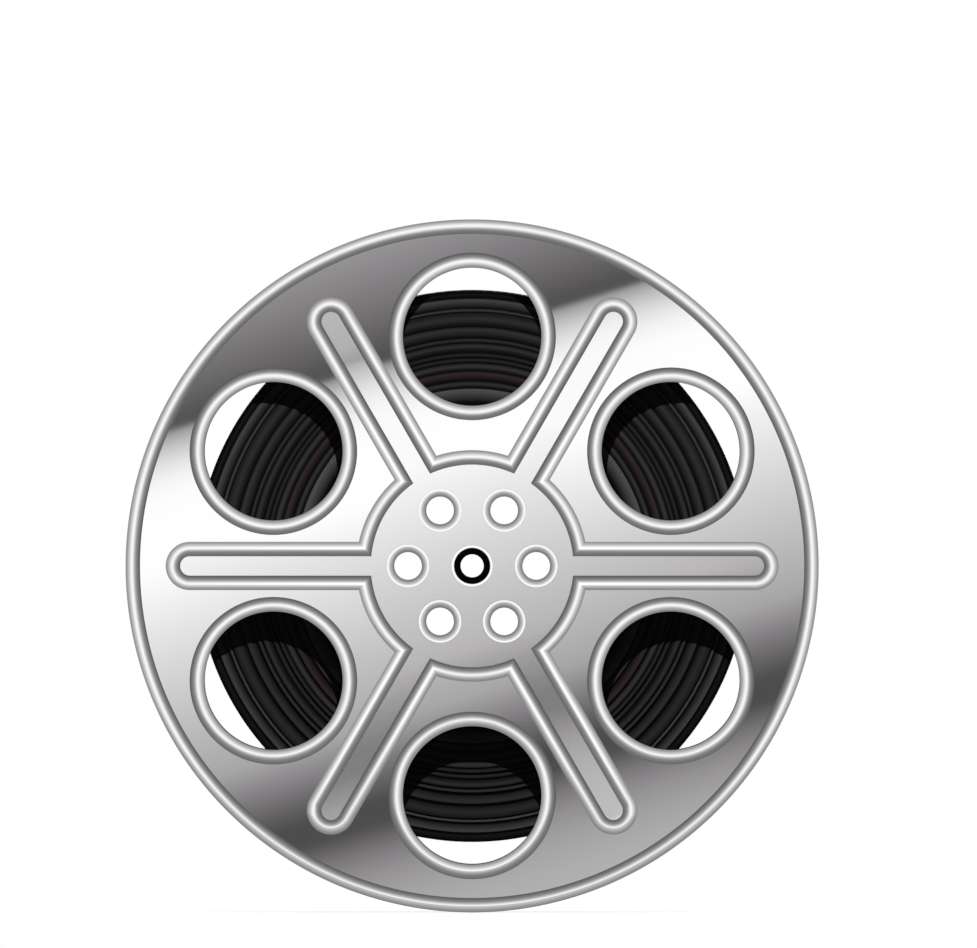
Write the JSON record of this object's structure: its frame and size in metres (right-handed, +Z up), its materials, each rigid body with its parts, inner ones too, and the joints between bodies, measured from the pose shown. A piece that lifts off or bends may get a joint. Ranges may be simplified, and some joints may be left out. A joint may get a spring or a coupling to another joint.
{
  "type": "film reel",
  "caption": "Round stamped metal film reel with round windows, a raised star bead, a rolled rim and a wound roll of dark film on its hub.",
  "frame": {"origin": "centre of the reel, on the spindle axis and midway between the flanges", "axes": "+Y along the spindle axis from the front face to the rear, +Z up, +X to the right seen from the front"},
  "size_m": [0.254, 0.0442, 0.254],
  "materials": {
    "polished_steel": "polished, with fine wear",
    "bright_steel": "bright",
    "plain_steel": "plain rolled",
    "spring_steel": "blued",
    "black_nylon": "matte, moulded",
    "film_edge": "wound film edges, satin",
    "film_base": "glossy film base",
    "paper_tape": "creped paper"
  },
  "bodies": {
    "spindle_bush": {"front_spindle_bush": "black_nylon", "rear_spindle_bush": "black_nylon", "bush_tube": "plain_steel"},
    "reel": {"front_flange": "polished_steel", "rear_flange": "polished_steel", "front_drum_head": "plain_steel", "rear_drum_head": "plain_steel", "hub_drum": "plain_steel", "spindle_sleeve": "bright_steel", "tie_tube_1": "bright_steel", "tie_tube_2": "bright_steel", "tie_tube_3": "bright_steel", "tie_tube_4": "bright_steel", "tie_tube_5": "bright_steel", "tie_tube_6": "bright_steel", "clip_pin": "plain_steel", "clip_spring": "spring_steel", "film_roll": "film_edge", "film_outer_lap": "film_base", "tail_tape": "paper_tape"},
    "film_clip": {"film_clip": "spring_steel"}
  },
  "joints": [
    {"name": "reel_spin", "type": "hinge", "parent": "spindle_bush", "child": "reel", "pos_m": [0, 0, 0], "axis": [0, 1, 0], "continuous": true},
    {"name": "film_clip_swing", "type": "hinge", "parent": "reel", "child": "film_clip", "pos_m": [0.00048, 0, -0.03055], "axis": [0, 1, 0], "range_deg": [0, 20], "stiffness_Nm_per_rad": 0.05, "springref_deg": -17.19}
  ]
}
